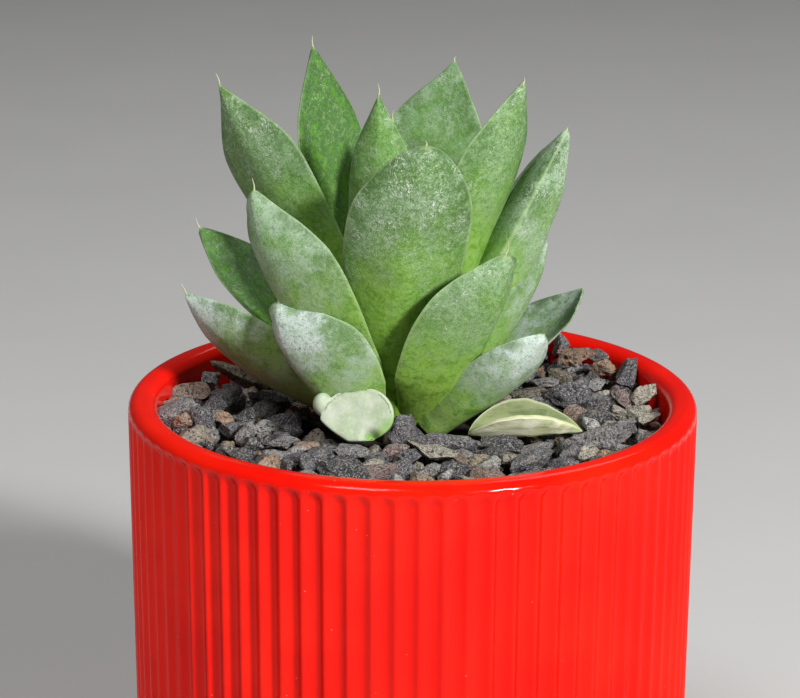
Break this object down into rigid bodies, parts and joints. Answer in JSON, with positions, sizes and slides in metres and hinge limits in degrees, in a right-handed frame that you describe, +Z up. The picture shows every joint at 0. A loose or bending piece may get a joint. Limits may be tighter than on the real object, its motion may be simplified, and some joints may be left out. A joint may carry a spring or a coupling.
{
  "type": "potted haworthia",
  "caption": "Small succulent rosette of thick boat-shaped pointed leaves, set in grit in a round fluted glazed pot.",
  "frame": {"origin": "centre of the pot's foot, on the plane it stands on", "axes": "+Z up along the pot's axis; -Y is the side the picture shows; +X is to the right in the picture"},
  "size_m": [0.08, 0.08, 0.1232],
  "materials": {
    "red_glaze": "bright glossy red glaze",
    "potting_mix": "dark crumbly potting mix",
    "grit": "dull crushed rock in greys, tans and browns",
    "stem": "pale fibrous stem and fleshy roots",
    "leaf_green": "waxy grey-green skin with a whitish bloom",
    "pale_leaf": "pale whitish green skin",
    "dry_leaf": "dry cream-yellow leaf"
  },
  "bodies": {
    "root": {"pot": "red_glaze", "potting_soil": "potting_mix", "grit": "grit", "stem_and_roots": "stem", "leaf_01": "leaf_green", "leaf_02": "leaf_green", "leaf_03": "leaf_green", "leaf_04": "leaf_green", "leaf_05": "leaf_green", "leaf_06": "leaf_green", "leaf_07": "leaf_green", "leaf_08": "leaf_green", "leaf_09": "leaf_green", "leaf_10": "leaf_green", "leaf_11": "leaf_green", "leaf_12": "leaf_green", "leaf_13": "leaf_green", "leaf_14": "leaf_green", "leaf_15": "leaf_green", "leaf_16": "leaf_green", "leaf_17": "leaf_green", "leaf_18": "leaf_green", "leaf_19": "leaf_green", "leaf_20": "leaf_green", "stunted_leaf": "pale_leaf", "withered_leaf": "dry_leaf"}
  },
  "joints": []
}
